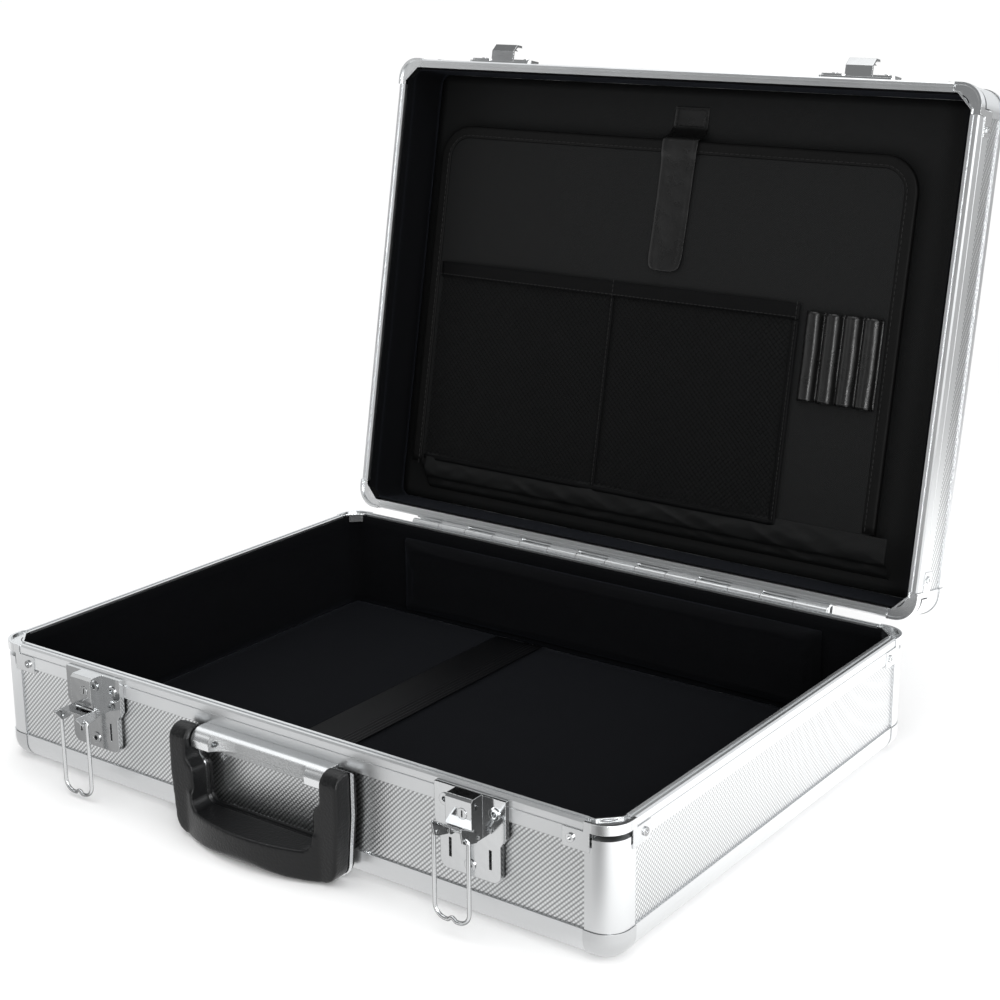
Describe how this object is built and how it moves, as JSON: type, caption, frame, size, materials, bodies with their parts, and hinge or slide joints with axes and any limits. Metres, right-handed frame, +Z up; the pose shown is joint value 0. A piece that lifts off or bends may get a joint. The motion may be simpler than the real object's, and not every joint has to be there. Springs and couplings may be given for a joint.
{
  "type": "aluminium attache case",
  "caption": "Rigid two-part attache case in ribbed aluminium with a hinged lid, draw latches, a swinging handle and a lined room with an organiser.",
  "frame": {"origin": "on the ground under the middle of the closed case", "axes": "+X along the front from the left latch to the right latch, +Y from the front to the hinge, +Z up"},
  "size_m": [0.46, 0.4812, 0.4208],
  "materials": {
    "ribbed_aluminium": "embossed with fine slanting ribs",
    "satin_trim": "satin anodised extrusion",
    "pressed_corner": "satin pressed sheet",
    "chrome": "bright chrome plate",
    "satin_casting": "satin silver casting, grainy in its recess",
    "steel": "plain steel",
    "hinge_steel": "nickel-plated strip",
    "black_grip": "fine leather grain",
    "trim_band": "satin chrome strip",
    "black_felt": "short black pile",
    "black_nylon": "plain-weave nylon",
    "black_mesh": "open knitted net",
    "black_vinyl": "glossy soft vinyl",
    "black_elastic": "satin elastic webbing",
    "black_rubber": "moulded rubber"
  },
  "bodies": {
    "base": {"back_pad": "black_felt", "base_back_panel": "ribbed_aluminium", "base_ball_corners": "pressed_corner", "base_bracket_rivets": "chrome", "base_corner_posts": "satin_trim", "base_edge_trims": "satin_trim", "base_feet": "black_rubber", "base_floor_panel": "ribbed_aluminium", "base_front_panel": "ribbed_aluminium", "base_left_panel": "ribbed_aluminium", "base_right_panel": "ribbed_aluminium", "base_rim": "satin_trim", "base_rim_brackets": "chrome", "base_wall_lining": "black_felt", "bracket_screws": "steel", "floor_pad": "black_felt", "floor_strap": "black_elastic", "handle_bracket": "satin_casting", "handle_pins": "steel", "hinge_base_leaf": "hinge_steel", "hinge_base_rivets": "steel", "hinge_pin": "steel", "latch_rivets": "chrome", "left_latch_hood": "chrome", "left_latch_plate": "chrome", "lever_pins": "chrome", "right_latch_hood": "chrome", "right_latch_plate": "chrome"},
    "lid": {"hinge_lid_leaf": "hinge_steel", "hinge_lid_rivets": "steel", "keeper_rivets": "chrome", "keepers": "chrome", "lid_back_panel": "ribbed_aluminium", "lid_ball_corners": "pressed_corner", "lid_bracket_rivets": "chrome", "lid_corner_posts": "satin_trim", "lid_edge_trims": "satin_trim", "lid_front_panel": "ribbed_aluminium", "lid_left_panel": "ribbed_aluminium", "lid_right_panel": "ribbed_aluminium", "lid_rim": "satin_trim", "lid_rim_brackets": "chrome", "lid_top_lining": "black_nylon", "lid_top_panel": "ribbed_aluminium", "lid_wall_lining": "black_felt", "mesh_pocket": "black_mesh", "organiser_binding": "black_vinyl", "organiser_board": "black_nylon", "organiser_gusset": "black_nylon", "organiser_strap": "black_vinyl", "pen_loops": "black_vinyl"},
    "handle": {"handle_front_shell": "black_grip", "handle_trim_band": "trim_band", "handle_rear_shell": "black_grip"},
    "left_lever": {"left_latch_lever": "chrome"},
    "right_lever": {"right_latch_lever": "chrome"},
    "left_bail": {"left_latch_bail": "chrome"},
    "right_bail": {"right_latch_bail": "chrome"},
    "left_lock": {"left_lock_cylinder": "chrome"},
    "right_lock": {"right_lock_cylinder": "chrome"}
  },
  "joints": [
    {"name": "lid_hinge", "type": "hinge", "parent": "base", "child": "lid", "pos_m": [0, 0.1721, 0.0753], "axis": [1, 0, 0], "range_deg": [0, 100.8]},
    {"name": "handle_pivot", "type": "hinge", "parent": "base", "child": "handle", "pos_m": [0, -0.1775, 0.0583], "axis": [-1, 0, 0], "range_deg": [0, 95]},
    {"name": "left_lever_pivot", "type": "hinge", "parent": "base", "child": "left_lever", "pos_m": [-0.141, -0.176, 0.0535], "axis": [1, 0, 0], "range_deg": [0, 90]},
    {"name": "left_bail_pivot", "type": "hinge", "parent": "left_lever", "child": "left_bail", "pos_m": [-0.141, -0.187, 0.051], "axis": [-1, 0, 0], "range_deg": [0, 270]},
    {"name": "left_lock_turn", "type": "hinge", "parent": "base", "child": "left_lock", "pos_m": [-0.1385, -0.176, 0.067], "axis": [0, -1, 0], "range_deg": [0, 90]},
    {"name": "right_lever_pivot", "type": "hinge", "parent": "base", "child": "right_lever", "pos_m": [0.141, -0.176, 0.0535], "axis": [1, 0, 0], "range_deg": [0, 118]},
    {"name": "right_bail_pivot", "type": "hinge", "parent": "right_lever", "child": "right_bail", "pos_m": [0.141, -0.18689, 0.05646], "axis": [-1, 0, 0], "range_deg": [0, 298]},
    {"name": "right_lock_turn", "type": "hinge", "parent": "base", "child": "right_lock", "pos_m": [0.1435, -0.176, 0.067], "axis": [0, -1, 0], "range_deg": [0, 90]}
  ],
  "couplings": [
    {"joint": "left_bail_pivot", "follows": "left_lever_pivot", "ratio": 3},
    {"joint": "right_bail_pivot", "follows": "right_lever_pivot", "ratio": 2.5254}
  ]
}
